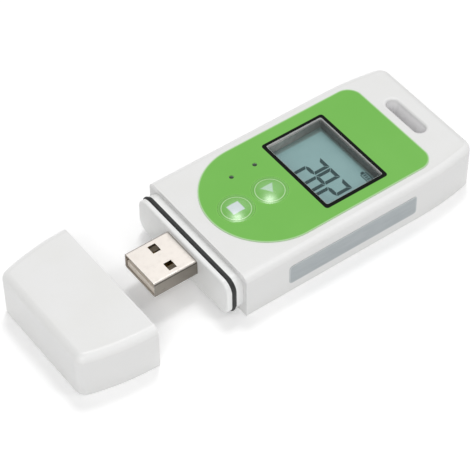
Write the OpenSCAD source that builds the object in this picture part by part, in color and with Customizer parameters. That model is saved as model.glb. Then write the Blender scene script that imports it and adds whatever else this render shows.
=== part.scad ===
// Pocket temperature logger that lies on its back with its cap pulled off the USB plug.
// X runs along the case: +X is the end with the hang slot, -X the end with the plug and the cap.
// Y runs across the case. Z is up, out of the display, and the back lies on z = 0.
// Places along the case are given from the seam, the face where the cap meets the case.
// The origin is the middle of the case's back.

/* [Case] */
// Length of the case from the seam to the hang-slot end
body_len = 68.8; // [67:0.1:75]
// Width of the case, and of the cap at its mouth
body_w = 38.2; // [37.4:0.1:42]
// Height of the case and of the cap
body_h = 12.8; // [12.6:0.1:15]
// Thickness of the case's side walls
side_wall = 1.9; // [1.7:0.1:2.3]
// Thickness of the case's top under the overlay
top_wall = 1.2; // [1.1:0.05:1.5]
// Radius of the soft top edges
edge_r = 1.9; // [1.2:0.1:2.4]
// Radius of the edges that meet the table
base_r = 0.4; // [0.2:0.1:0.8]
// Radius of the two corners at the hang-slot end, seen from above
corner_r = 3; // [2.5:0.1:4]
// Length of the slot end, along which the sides bow in
bow_len = 17.8; // [15:0.1:20]
// Radius of the bowed sides
bow_r = 78; // [70:1:110]

/* [Hang slot] */
// Distance from the slot's middle to the end of the case
slot_end = 6.9; // [6.4:0.1:7.1]
// Length of the slot across the case
slot_len = 13.3; // [10:0.1:16]
// Width of the slot
slot_w = 3.3; // [2.8:0.1:3.6]
// Rounding of the slot's rims
slot_rim_r = 0.6; // [0.3:0.05:0.8]
// Wall round the slot, where it passes through the rear cover
slot_wall = 1; // [0.9:0.05:1.2]

/* [Rear cover] */
// Thickness of the rear cover
cover_t = 1.3; // [1.2:0.1:1.5]
// Thickness of the case's rim beside the rear cover
rim_wall = 0.9; // [0.8:0.05:1.1]
// Height of the gasket between the rear cover and the case
gasket_h = 0.5; // [0.4:0.05:0.7]
// Radius of the pillars that take the cover's screws
pillar_r = 2.2; // [2:0.1:2.4]
// Radius of a screw's shank
screw_r = 1; // [0.8:0.05:1.1]
// Length of a screw under its head
screw_len = 6; // [4:0.5:7]

/* [Collar and seal] */
// Distance that the collar stands out of the seam
collar_len = 4.3; // [4.2:0.1:5]
// Step from the side of the case in to the collar
collar_side_step = 1.35; // [1.3:0.05:1.6]
// Step from the top of the case down to the collar
collar_top_step = 1.45; // [1.4:0.05:1.7]
// Step from the back of the case up to the collar
collar_base_step = 1.25; // [1.2:0.05:1.5]
// Radius of the collar's corners, seen from its end
collar_r = 3; // [2:0.1:3.6]
// Thickness of the collar's front plate
collar_plate = 1.2; // [1:0.05:1.2]
// Thickness of the sealing ring
seal_d = 1; // [0.8:0.05:1.1]
// Height of the sealing ring above the collar
seal_proud = 0.35; // [0.2:0.05:0.4]
// Distance from the seam to the middle of the sealing ring
seal_x = 2.55; // [2.3:0.05:2.6]

/* [Cap] */
// Length of the cap
cap_len = 19.3; // [19.2:0.1:24]
// Radius of the cap's bowed sides
cap_bow_r = 60; // [58:1:90]
// Radius of the cap's corners at its closed end, seen from above
cap_corner_r = 2.6; // [2.4:0.1:3.6]
// Thickness of the cap's walls round the plug
cap_wall = 1.4; // [1.2:0.1:1.7]
// Thickness of the cap's closed end
cap_end_wall = 2.3; // [1.8:0.1:2.4]
// Distance from the seam to the mouth of the cap when it lies pulled off
cap_off = 24.1; // [18:0.1:40]

/* [USB plug] */
// Width of the plug's metal shell
plug_w = 12; // [11.9:0.05:12.1]
// Height of the plug's metal shell
plug_h = 4.5; // [4.4:0.05:4.6]
// Length of the plug outside the collar
plug_out = 11.8; // [11.75:0.05:12]
// Length of the plug behind the collar's front
plug_in = 7; // [6:0.1:7.4]
// Thickness of the shell's sheet metal
shell_t = 0.3; // [0.25:0.01:0.35]
// Radius of the shell's corners
shell_r = 0.6; // [0.4:0.05:0.8]
// Thickness of the plastic tongue
tongue_t = 1.84; // [1.7:0.02:1.9]
// Distance from the plug's tip to the near edge of its windows
latch_x = 5.2; // [5:0.05:5.5]
// Length of a window along the plug
latch_len = 2.1; // [2:0.05:2.4]
// Width of a window across the plug
latch_w = 2.5; // [2.2:0.05:2.7]
// Distance from the plug's tip to the middle of the dimple in each side
dimple_x = 2.3; // [2:0.05:3]
// Radius of a dimple
dimple_r = 0.35; // [0.25:0.05:0.5]
// Distance across the plug between the middles of the two windows
latch_pitch = 6.35; // [6:0.05:6.6]

/* [Overlay and display] */
// Thickness of the printed film on top
film_t = 0.2; // [0.15:0.01:0.3]
// Width of the white border on each side of the film
film_border = 3; // [2.6:0.1:4]
// Distance from the seam to the film's round end
film_start = 3.9; // [3:0.1:5]
// Distance from the film's straight end to the end of the case
film_end = 11; // [10.8:0.1:12.8]
// Radius of the film's two corners
film_corner_r = 4; // [2:0.1:5]
// Distance from the seam to the clear window
window_start = 28.6; // [28.4:0.1:29.4]
// Distance from the clear window to the film's straight end
window_end = 12.65; // [12.4:0.05:13.8]
// Width of the film on each side of the clear window
window_border = 4.25; // [4.2:0.05:6]
// Depth from the case's top down to the display's glass
display_depth = 2.9; // [2.7:0.05:3.2]
// Thickness of the two glasses of the display together
glass_t = 2.4; // [2.2:0.05:2.5]

/* [Buttons and lights] */
// Distance from the seam to the middle of the start button
start_x = 20.7; // [20.5:0.1:20.9]
// Distance from the seam to the middle of the stop button
stop_x = 11; // [10.6:0.1:11.1]
// Step of the buttons' row from the middle of the case
button_y = -0.3; // [-0.5:0.05:0.5]
// Radius of a button's dome
dome_r = 4.4; // [4:0.05:4.5]
// Height of a dome above the film
dome_h = 0.6; // [0.4:0.05:0.9]
// Distance that a button travels
press = 0.4; // [0.25:0.05:0.45]
// Distance from the seam to the alarm light
alarm_x = 16; // [15.8:0.1:16.4]
// Distance from the seam to the light that says all is well
ok_x = 22.8; // [22.5:0.1:23]
// Distance of the two lights from the middle of the case
light_y = 8.45; // [8:0.05:9]
// Depth of a light pipe's end below the top of the film
pipe_sunk = 0.3; // [0.2:0.05:0.5]
// Radius of a light pipe
pipe_r = 0.55; // [0.4:0.05:0.6]

/* [Board and battery] */
// Height of the board's underside above the back
board_z = 4.6; // [4.6:0.05:4.8]
// Thickness of the board
board_t = 0.8; // [0.6:0.05:0.8]
// Distance from the seam to the middle of the battery
battery_x = 19.5; // [18:0.5:20.5]
// Radius of the coin cell
battery_r = 10; // [9.5:0.1:10.2]
// Thickness of the coin cell
battery_t = 3.2; // [2.5:0.1:3.2]
// Thickness of the battery door
door_t = 1; // [0.9:0.05:1]
// Angle that the battery door turns from locked to free
door_turn = 45; // [30:1:60]

/* [Side label] */
// Distance from the seam to the near end of the label
label_x = 12.2; // [8:0.1:14]
// Length of the label
label_len = 37.6; // [30:0.1:38]
// Height of the label
label_h = 5.7; // [5:0.1:6.5]
// Height of the label's lower edge above the back
label_z = 2.9; // [2.5:0.1:3.5]
// Thickness of the label
label_t = 0.12; // [0.1:0.01:0.2]

/* [Fits] */
// Gap between pieces that are glued, clipped or laid against each other
fit = 0.03; // [0.02:0.005:0.05]
// Gap between pieces that slide or turn against each other
slip = 0.1; // [0.08:0.01:0.12]

/* [Hidden] */
$fn = 96;

// One overrun serves all cuts
over = 1;
// A round corner lies a hair inside the walls on both sides of it, so that no curved walls graze
hair = 0.01;
// A quarter disc and a wall's section reach this share of their size into what they are laid against
lap_share = 0.2;
half_w = body_w / 2;
bow_start = body_len - bow_len;
slot_x = body_len - slot_end;

// Case: the end wall that the collar is set into, and the ledge that the gasket lies under
front_rim = 2;
front_wall = 3;
ledge_z = cover_t + gasket_h;
cavity_top = body_h - top_wall;

// Collar: how deep it is set into the case, and its own wall
collar_seat = 1.2;
collar_wall = 1.2;
collar_half_w = half_w - collar_side_step;
collar_z0 = collar_base_step;
collar_z1 = body_h - collar_top_step;
collar_edge = 0.5;

// Sealing ring: its middle line lies this far inside the collar's outline
seal_inset = seal_d / 2 - seal_proud;

// Cap: the smooth land at its mouth that the sealing ring slides in
land_over_share = 0.3;
land_depth = collar_len + land_over_share * seal_d;
land_gap = 0.05;

// Plug: its place, and the tongue and contacts in it
board_top = board_z + board_t;
plug_z = board_top + fit + plug_h / 2;
plug_tip = -collar_len - plug_out;
plug_back = -collar_len + plug_in;
tongue_back = 0.4;
tongue_block_share = 0.6;
dimple_deep = 0.12;
dimple_low = 0.65;
contact_w = 1;
contact_t = 0.1;
contact_step = 1;
contact_len = 6.4;
contact_long = 7.4;
contact_places_share = [-1.75, -0.5, 0.5, 1.75];
contact_pitch = 2;
leg_w = 1.6;
leg_x = 4.2;
leg_below = 0.3;
board_tongue_w = 13.6;
board_tongue_x = 2.6;

// Overlay and display: the case shows as a thin white rim inside the clear window
film_w = body_w - 2 * film_border;
film_round_x = film_start + film_w / 2;
film_end_x = body_len - film_end;
window_w = film_w - 2 * window_border;
window_len = film_end_x - window_end - window_start;
display_x = window_start + window_len / 2;
window_rim = 0.1;
opening_len = window_len - 2 * window_rim;
opening_w = window_w - 2 * window_rim;
frame_r = 0.5;
bezel_neck = 0.3;
bezel_low = 0.5;
bezel_wall = 0.8;
glass_margin = 1.7;
glass_ledge = 2;
glass_len = window_len + 2 * glass_margin;
glass_w = window_w + 2 * glass_margin;
glass_top = body_h - display_depth;
strip_w = 1.5;

// Buttons: the pocket in the case's top, the key under the dome and the switch on the board
film_top = body_h + film_t;
pocket_r = dome_r + slip;
pocket_floor = 0.4;
key_head_gap = 0.4;
key_head_r = dome_r - key_head_gap;
key_head_t = 0.35;
key_stem_r = 1.7;
switch_w = 6;
switch_h = 3.4;
plunger_r = 1.6;
plunger_up = 0.75;
plunger_in = 0.9;

// Lights
pipe_flange_r = 1.2;
pipe_flange_t = 0.9;
led_len = 1.6;
led_w = 0.8;
led_h = 0.7;

// Board outline, chips and pillars
board_gap = 0.4;
board_half_w = half_w - side_wall - board_gap;
pillar_wall_gap = 0.6;
pillar_y = half_w - side_wall - pillar_r - pillar_wall_gap;
pillar_x1 = 8;
pillar_x2 = body_len - 2 * slot_end - board_gap;
shoulder_step = 0.9;
shoulder_r = pillar_r + shoulder_step;
head_r = 1.9;
head_t = 0.9;
head_sunk = 0.15;
board_x0 = front_wall + board_gap;
board_x1 = slot_x - slot_w / 2 - 2 * slot_wall - 2 * board_gap;

// Chips on the board: places, and length, width and height
chip_gap = 1.2;
leg_span_share = 1.3;
processor_size = [7, 5.6, 1.2];
processor_legs = 8;
processor_x = (start_x + stop_x) / 2;
processor_y = board_half_w - chip_gap - leg_span_share * processor_size[1] / 2;
memory_size = [5, 4, 1.5];
memory_legs = 4;
memory_x = board_x1 - chip_gap - memory_size[0] / 2;
memory_y = window_w / 4;
sensor_size = [3, 1.7, 1.1];
sensor_legs = 3;
sensor_x = board_x1 - chip_gap - sensor_size[0] / 2;
crystal_r = 1;
crystal_len = 6;
crystal_x = board_x0 + chip_gap;
crystal_y = pillar_y - shoulder_r - chip_gap;

// Battery door: a round plate with three tabs that turn under the cover's rim
door_z = 0.15;
bay_gap = 0.45;
door_lip = 1.35;
door_r = battery_r + door_lip;
door_top = door_z + door_t;
tab_t = 0.45;
tab_reach = 0.85;
tab_angle = 20;
tab_clear_angle = 1;
tab_count = 3;
bay_r = battery_r + bay_gap;
bay_wall = 0.85;
ring_wall = 2.1;
ring_h = 0.75;
coin_slot_len = 14;
coin_slot_w = 1.8;
coin_slot_deep = 0.45;
door_seal_d = 0.5;
door_seal_r = (bay_r + door_r) / 2;
door_seal_z = door_top + slip / 2 - fit - door_seal_d / 2;
battery_z = door_top + slip;
strap_t = 0.25;
can_h_share = 0.86;
lid_r_share = 0.89;
grip_angle = 70;
foot_angle = 6;
spring_hub_share = 0.25;
spring_arm_share = 0.6;
spring_arm_w = 1;

// Side label
label_r = label_h / 7;

// Move from the seam's frame to the middle of the case's back
module from_seam() {
    translate([-body_len / 2, 0, 0]) children();
}

// Where the middle of a bowed outline's round corner lies across the case
function corner_y(hw, x0, r, len, cr) =
    hair * floor((hw - r + sqrt(pow(r - cr, 2) - pow(len - cr - x0, 2))) / hair);

// How far round the bow the corner starts, to a tenth of a degree
function corner_turn(hw, x0, r, len, cr) =
    round(10 * atan2(corner_y(hw, x0, r, len, cr) - hw + r, len - cr - x0)) / 10;

// Quarter of a disc, with a small lap so that it joins what it is laid against
module quarter_disc(r) {
    intersection() {
        circle(r);
        translate([-lap_share * r, -lap_share * r]) square((1 + lap_share) * r);
    }
}

// Section of a wall whose outer face is at x = 0, rounded at its top and at its foot
module wall_section(h, top_r, foot_r, depth) {
    translate([-depth, 0]) square([depth - top_r, h]);
    translate([-depth, foot_r]) square([depth, h - top_r - foot_r]);
    translate([-depth, 0]) square([depth - foot_r, 2 * foot_r]);
    translate([-top_r, h - top_r]) quarter_disc(top_r);
    translate([-foot_r, foot_r]) mirror([0, 1]) quarter_disc(foot_r);
}

// Solid with straight sides to x0 and bowed sides from there to two round corners,
// with soft edges all round except at its flat end at x = 0
module soft_slab(hw, x0, r, len, cr, h, top_r, foot_r) {
    cy = corner_y(hw, x0, r, len, cr);
    turn = corner_turn(hw, x0, r, len, cr);
    deep = (1 + lap_share) * hw;
    if (x0 > 0)
        rotate([90, 0, 90]) linear_extrude(x0)
            for (side = [0, 1]) mirror([side, 0])
                translate([hw, 0]) wall_section(h, top_r, foot_r, deep);
    for (side = [0, 1])
        mirror([0, side, 0]) {
            translate([x0, hw - r, 0]) rotate_extrude(angle = 90 - turn, start = turn)
                translate([r, 0]) wall_section(h, top_r, foot_r, deep);
            translate([len - cr, cy, 0]) rotate_extrude() intersection() {
                translate([cr - hair, hair])
                    wall_section(h - 2 * hair, top_r - hair, foot_r - hair, 2 * cr);
                translate([0, -over]) square([cr + over, h + 2 * over]);
            }
        }
    translate([len, cy, 0]) rotate([90, 0, 0]) linear_extrude(2 * cy)
        wall_section(h, top_r, foot_r, len - x0);
}

// Outline of the case from above, moved in by a wall, and starting at a given x
module case_plan(inset, x_start) {
    cx = body_len - corner_r;
    cy = corner_y(half_w, bow_start, bow_r, body_len, corner_r);
    turn = corner_turn(half_w, bow_start, bow_r, body_len, corner_r);
    clear_r = corner_r + over;
    translate([x_start, inset - half_w]) square([bow_start - x_start, body_w - 2 * inset]);
    for (side = [0, 1])
        mirror([0, side]) {
            intersection() {
                translate([bow_start, half_w - bow_r]) circle(bow_r - inset, $fn = 4 * $fn);
                polygon([[bow_start, 0], [bow_start, half_w + over],
                    [cx + clear_r * cos(turn), cy + clear_r * sin(turn)], [cx, cy], [cx, 0]]);
            }
            translate([cx, cy]) circle(corner_r - inset);
        }
    translate([bow_start, -cy]) square([body_len - inset - bow_start, 2 * cy]);
}

// Rounded rectangle round the middle of the plane
module round_rect(size, r) {
    square([size[0] - 2 * r, size[1]], center = true);
    square([size[0], size[1] - 2 * r], center = true);
    for (x = [-1, 1], y = [-1, 1])
        translate([x * (size[0] / 2 - r), y * (size[1] / 2 - r)]) circle(r);
}

// Plate with round corners that lies flat, by its middle
module plate(x, y, z, len, w, t, r) {
    translate([x, y, z]) linear_extrude(t) round_rect([len, w], r);
}

// Long hole with round ends, across the case
module slot_shape(r) {
    ends = slot_len / 2 - slot_w / 2;
    translate([slot_x - r, -ends]) square([2 * r, 2 * ends]);
    for (side = [-1, 1]) translate([slot_x, side * ends]) circle(r);
}

// The collar's outline from its end, moved in by a wall, from x0 to x1
module collar_bar(inset, x0, x1) {
    h = collar_z1 - collar_z0;
    translate([x0, 0, (collar_z0 + collar_z1) / 2]) rotate([90, 0, 90]) linear_extrude(x1 - x0)
        round_rect([2 * (collar_half_w - inset), h - 2 * inset], collar_r - inset);
}

// The same four places carry a pillar, a screw, a hole in the cover and a notch in the board
module at_pillars() {
    for (x = [pillar_x1, pillar_x2], side = [-1, 1]) translate([x, side * pillar_y, 0]) children();
}

module front_case() {
    color("whitesmoke") from_seam() {
        difference() {
            union() {
                case_shell();
                at_pillars() {
                    translate([0, 0, cover_t + fit])
                        cylinder(r = pillar_r, h = cavity_top - cover_t);
                    translate([0, 0, board_top + fit])
                        cylinder(r = shoulder_r, h = cavity_top - board_top);
                }
            }
            at_pillars() translate([0, 0, -over])
                cylinder(r = screw_r + fit, h = screw_len + head_t + head_sunk + slip + over);
        }
        slot_tube();
    }
}

module case_shell() {
    difference() {
        soft_slab(half_w, bow_start, bow_r, body_len, corner_r, body_h, edge_r, base_r);
        translate([0, 0, -over]) linear_extrude(ledge_z + over) case_plan(rim_wall, front_rim);
        translate([0, 0, ledge_z / 2]) linear_extrude(cavity_top - ledge_z / 2)
            case_plan(side_wall, front_wall);
        translate([0, 0, -over]) linear_extrude(body_h + 2 * over)
            slot_shape(slot_w / 2 + (slot_rim_r + slot_wall) / 2);
        collar_bar(-fit, -over, collar_seat);
        plug_window(0, front_wall + over);
        translate([display_x, 0, cavity_top - over]) linear_extrude(top_wall + 2 * over)
            round_rect([opening_len, opening_w], frame_r);
        for (x = [start_x, stop_x]) translate([x, button_y, 0]) {
            translate([0, 0, cavity_top + pocket_floor]) cylinder(r = pocket_r, h = top_wall + over);
            translate([0, 0, cavity_top - over]) cylinder(r = key_stem_r + slip, h = top_wall + over);
        }
        for (x = [ok_x, alarm_x]) translate([x, light_y, cavity_top - over])
            cylinder(r = pipe_r + fit, h = top_wall + 2 * over);
    }
}

// Hole through the case's front wall for the plug and the board's tongue
module plug_window(x0, x1) {
    z0 = board_z - 2 * slip;
    z1 = plug_z + plug_h / 2 + 2 * slip;
    translate([x0, -board_tongue_w / 2 - 2 * slip, z0])
        cube([x1 - x0, board_tongue_w + 4 * slip, z1 - z0]);
}

// Wall of the hang slot, with soft rims at the top and at the back
module slot_tube() {
    ends = slot_len / 2 - slot_w / 2;
    for (side = [0, 1]) {
        translate([slot_x, 0, 0]) mirror([side, 0, 0]) rotate([90, 0, 0])
            linear_extrude(2 * ends, center = true) slot_section();
        mirror([0, side, 0]) translate([slot_x, ends, 0]) rotate_extrude(angle = 180) slot_section();
    }
}

module slot_section() {
    r = slot_w / 2;
    rim = slot_rim_r;
    translate([r + rim, 0]) square([slot_wall - rim, body_h]);
    translate([r, rim]) square([rim, body_h - 2 * rim]);
    translate([r + rim, body_h - rim]) mirror([1, 0]) quarter_disc(rim);
    translate([r + rim, rim]) mirror([1, 0]) mirror([0, 1]) quarter_disc(rim);
    translate([r + slot_wall / 2, ledge_z]) square([1.5 * slot_wall, cavity_top - ledge_z + top_wall / 2]);
}

module rear_cover() {
    wall_top = board_z - 2.5 * slip;
    color("white") from_seam() difference() {
        union() {
            linear_extrude(cover_t) case_plan(rim_wall + slip, front_rim + slip);
            translate([battery_x, 0, 0])
                cylinder(r = door_r + slip + ring_wall, h = door_top + slip + ring_h);
            translate([battery_x, 0, 0]) cylinder(r = bay_r + bay_wall, h = wall_top);
        }
        translate([0, 0, -over]) linear_extrude(cover_t + 2 * over) slot_shape(slot_w / 2 + slot_wall + slip);
        translate([battery_x, 0, -over]) {
            cylinder(r = door_r + slip, h = door_top + slip / 2 + over);
            cylinder(r = bay_r, h = wall_top + 2 * over);
        }
        for (i = [0 : tab_count - 1]) translate([battery_x, 0, 0]) rotate([0, 0, tab_place(i)]) {
            tab_gap = tab_angle / 2 + tab_clear_angle;
            translate([0, 0, door_top - tab_t - slip])
                rotate_extrude(angle = door_turn + 2 * tab_gap, start = -door_turn - tab_gap)
                    square([door_r + tab_reach + slip, tab_t + 1.5 * slip]);
            translate([0, 0, -over])
                rotate_extrude(angle = 2 * tab_gap, start = -door_turn - tab_gap)
                    square([door_r + tab_reach + slip, door_top - tab_t + over]);
        }
        at_pillars() {
            translate([0, 0, -over]) cylinder(r = screw_r + slip, h = cover_t + 2 * over);
            translate([0, 0, -over]) cylinder(r = head_r + slip, h = head_sunk + over);
            translate([0, 0, head_sunk - fit])
                cylinder(r1 = head_r + slip, r2 = screw_r + slip, h = head_t + fit);
        }
    }
}

// The tabs stand at even angles, the first one across the case
function tab_place(i) = 90 + 360 * i / tab_count;

module cover_gasket() {
    color("dimgray") from_seam() translate([0, 0, cover_t + fit]) linear_extrude(gasket_h - 2 * fit)
        difference() {
            case_plan(rim_wall + slip, front_rim + slip);
            case_plan(side_wall + slip, front_wall + slip);
        }
}

module slot_gasket() {
    color("dimgray") from_seam() translate([0, 0, cover_t + fit]) linear_extrude(gasket_h - 2 * fit)
        difference() {
            slot_shape(slot_w / 2 + 2 * slot_wall);
            slot_shape(slot_w / 2 + slot_wall + fit);
        }
}

module cover_screws() {
    color("silver") from_seam() at_pillars() difference() {
        union() {
            translate([0, 0, head_sunk]) cylinder(r1 = head_r, r2 = screw_r, h = head_t);
            translate([0, 0, head_sunk]) cylinder(r = screw_r, h = head_t + screw_len);
        }
        for (turn = [0, 90]) rotate([0, 0, turn])
            translate([-head_r / 2, -screw_r / 5, 0]) cube([head_r, screw_r / 2.5, head_sunk + head_t / 2]);
    }
}

// Sweep a section round the collar's four corners and sides. In the section, X points outward
// from the middle of a corner and Y along the case.
module around_collar() {
    flat_y = collar_half_w - collar_r;
    flat_z = (collar_z1 - collar_z0) / 2 - collar_r;
    translate([0, 0, (collar_z0 + collar_z1) / 2]) rotate([90, 0, 90]) {
        for (x = [0, 1], y = [0, 1]) mirror([x, 0, 0]) mirror([0, y, 0])
            translate([flat_y, flat_z, 0]) rotate_extrude(angle = 90) children();
        for (y = [0, 1]) mirror([0, y, 0]) translate([-flat_y, flat_z, 0])
            rotate([90, 0, 90]) linear_extrude(2 * flat_y) children();
        for (x = [0, 1]) mirror([x, 0, 0]) translate([flat_y, flat_z, 0])
            rotate([90, 0, 0]) linear_extrude(2 * flat_z) children();
    }
}

// Wall of the collar with its soft front edge, its groove for the ring and part of its front plate
module collar_section() {
    groove_deep = seal_inset + seal_d / 2 + fit;
    groove_half = seal_d / 2 + fit;
    difference() {
        union() {
            translate([0, collar_edge - collar_len])
                square([collar_r, collar_len - collar_edge + collar_seat]);
            translate([0, -collar_len]) square([collar_r - collar_edge, 2 * collar_edge]);
            translate([collar_r - collar_edge, collar_edge - collar_len]) mirror([0, 1])
                quarter_disc(collar_edge);
        }
        translate([-over, collar_plate - collar_len])
            square([collar_r - collar_wall + over, collar_len + collar_seat]);
        translate([collar_r - groove_deep, -seal_x - groove_half])
            square([groove_deep + over, 2 * groove_half]);
    }
}

module usb_collar() {
    color("white") from_seam() difference() {
        union() {
            around_collar() collar_section();
            collar_bar(collar_r / 2, -collar_len, collar_plate - collar_len);
        }
        translate([-collar_len - over, 0, plug_z]) rotate([90, 0, 90])
            linear_extrude(collar_plate + 2 * over)
                round_rect([plug_w + 2 * fit, plug_h + 2 * fit], shell_r + fit);
    }
}

module collar_seal() {
    color("black") from_seam() around_collar()
        translate([collar_r - seal_inset, -seal_x]) circle(d = seal_d);
}

module cap() {
    color("white") from_seam() translate([-cap_off, 0, 0]) mirror([1, 0, 0]) difference() {
        soft_slab(half_w, 0, cap_bow_r, cap_len, cap_corner_r, body_h, edge_r, base_r);
        cap_land();
        intersection() {
            translate([-over, -half_w, collar_base_step])
                cube([cap_len - cap_end_wall + over, body_w, body_h - collar_base_step - cap_wall]);
            cap_bow();
            mirror([0, 1, 0]) cap_bow();
        }
    }
}

// Inner face of one bowed side of the cap
module cap_bow() {
    translate([0, half_w - cap_bow_r, 0]) cylinder(r = cap_bow_r - cap_wall, h = body_h, $fn = 4 * $fn);
}

// Space for the collar and its sealing ring at the cap's mouth
module cap_land() {
    grow = seal_proud + land_gap;
    translate([-over, 0, (collar_z0 + collar_z1) / 2]) rotate([90, 0, 90]) linear_extrude(land_depth + over)
        round_rect([2 * (collar_half_w + grow), collar_z1 - collar_z0 + 2 * grow], collar_r + grow);
}

module overlay() {
    r = film_w / 2;
    straight = film_end_x - film_round_x;
    color([0.48, 0.76, 0.36]) from_seam() translate([0, 0, body_h]) linear_extrude(film_t) difference() {
        union() {
            translate([film_round_x, 0]) circle(r);
            translate([film_round_x, -r]) square([straight - film_corner_r, film_w]);
            translate([film_round_x, film_corner_r - r]) square([straight, film_w - 2 * film_corner_r]);
            for (side = [-1, 1]) translate([film_end_x - film_corner_r, side * (r - film_corner_r)])
                circle(film_corner_r);
        }
        translate([display_x, 0]) round_rect([window_len, window_w], frame_r);
        for (x = [start_x, stop_x]) translate([x, button_y]) circle(dome_r + slip / 2);
        for (x = [ok_x, alarm_x]) translate([x, light_y]) circle(pipe_r + fit);
    }
}

module display_window() {
    color([0.8, 0.9, 0.95, 0.3]) from_seam()
        plate(display_x, 0, body_h + fit / 2, window_len - fit, window_w - fit, film_t - fit / 2, frame_r);
}

// Dark frame that stands on the board, holds the glass down and reaches up into the case's opening
module display_bezel() {
    len = glass_len + 2 * (bezel_wall + slip);
    w = glass_w + 2 * (bezel_wall + slip);
    inner_len = opening_len - 2 * (fit + bezel_neck);
    inner_w = opening_w - 2 * (fit + bezel_neck);
    color([0.2, 0.2, 0.19]) from_seam() difference() {
        union() {
            plate(display_x, 0, board_top + fit, len, w, cavity_top - board_top - 2 * fit, bezel_wall);
            plate(display_x, 0, board_top + fit, opening_len - 2 * fit, opening_w - 2 * fit,
                body_h - bezel_low - board_top, frame_r);
        }
        plate(display_x, 0, board_top - over, glass_len + 2 * slip, glass_w + 2 * slip,
            glass_top + fit - board_top + over, slip);
        plate(display_x, 0, board_top, inner_len, inner_w, body_h - board_top + over, slip);
    }
}

// Two glasses: the upper one overhangs the lower one at both ends, over the contact strips
module display_panel() {
    lower = glass_top - glass_t;
    color([0.56, 0.68, 0.68]) from_seam() {
        plate(display_x, 0, glass_top - glass_t / 2, glass_len, glass_w, glass_t / 2, slip);
        plate(display_x, 0, lower, glass_len - 2 * glass_ledge, glass_w, glass_t / 2 + fit, slip);
    }
}

module contact_strips() {
    h = glass_top - glass_t / 2 - board_top - 2 * fit;
    place = glass_len / 2 - glass_ledge / 2;
    color("lightpink") from_seam() for (side = [-1, 1])
        translate([display_x + side * place - strip_w / 2, -window_w / 2, board_top + fit])
            cube([strip_w, window_w, h]);
}

module circuit_board() {
    color("darkgreen") from_seam() translate([0, 0, board_z]) linear_extrude(board_t) difference() {
        union() {
            translate([board_x0, -board_half_w]) square([board_x1 - board_x0, 2 * board_half_w]);
            translate([-board_tongue_x, -board_tongue_w / 2])
                square([board_x0 + board_tongue_x + over, board_tongue_w]);
        }
        for (x = [pillar_x1, pillar_x2], side = [0, 1]) mirror([0, side]) translate([x, pillar_y]) {
            circle(pillar_r + 2 * slip);
            translate([-pillar_r - 2 * slip, 0]) square([2 * pillar_r + 4 * slip, half_w - pillar_y]);
        }
        for (side = [-1, 1])
            translate([plug_back - leg_x - leg_w / 2 - slip, side * (plug_w / 2 - shell_t / 2)])
                translate([0, -shell_t / 2 - slip]) square([leg_w + 2 * slip, shell_t + 2 * slip]);
    }
}

module battery() {
    lid_r = lid_r_share * battery_r;
    color("silver") from_seam() translate([battery_x, 0, battery_z]) {
        cylinder(r = battery_r, h = can_h_share * battery_t);
        cylinder(r = lid_r, h = battery_t);
    }
}

// Spring strap that grips the cell's rim and is soldered under the board
module positive_contact() {
    color("goldenrod") from_seam() translate([battery_x, 0, 0]) for (side = [0, 180])
        rotate([0, 0, side - grip_angle / 2]) {
            translate([0, 0, battery_z + slip]) rotate_extrude(angle = grip_angle)
                translate([battery_r + fit, 0]) square([strap_t, board_z - battery_z - slip - fit]);
            translate([0, 0, board_z - fit - strap_t / 2])
                rotate_extrude(angle = foot_angle, start = grip_angle / 2 - foot_angle / 2)
                    translate([battery_r + fit, 0]) square([2 * bay_wall, strap_t / 2]);
        }
}

module negative_contact() {
    t = board_z - battery_z - battery_t - 2 * fit;
    arm = spring_arm_share * battery_r;
    color("goldenrod") from_seam() translate([battery_x, 0, battery_z + battery_t + fit]) {
        cylinder(r = spring_hub_share * battery_r, h = t);
        for (turn = [0, 60, 120]) rotate([0, 0, turn])
            translate([-arm, -spring_arm_w / 2, 0]) cube([2 * arm, spring_arm_w, t]);
    }
}

module battery_door() {
    color("white") from_seam() translate([battery_x, 0, 0]) difference() {
        union() {
            translate([0, 0, door_z]) cylinder(r = door_r, h = door_t);
            for (i = [0 : tab_count - 1]) translate([0, 0, door_top - tab_t])
                rotate_extrude(angle = tab_angle, start = tab_place(i) - tab_angle / 2)
                    square([door_r + tab_reach, tab_t - slip / 2]);
        }
        translate([-coin_slot_w / 2, -coin_slot_len / 2, 0])
            cube([coin_slot_w, coin_slot_len, door_z + coin_slot_deep]);
        translate([0, 0, door_seal_z - door_seal_d / 2 - fit]) rotate_extrude()
            translate([door_seal_r - door_seal_d / 2 - fit, 0])
                square([door_seal_d + 2 * fit, door_seal_d + over]);
    }
}

module door_seal() {
    color("black") from_seam() translate([battery_x, 0, door_seal_z])
        rotate_extrude() translate([door_seal_r, 0]) circle(door_seal_d / 2);
}

module shell_section(inset) {
    round_rect([plug_w - 2 * inset, plug_h - 2 * inset], shell_r - inset);
}

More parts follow.
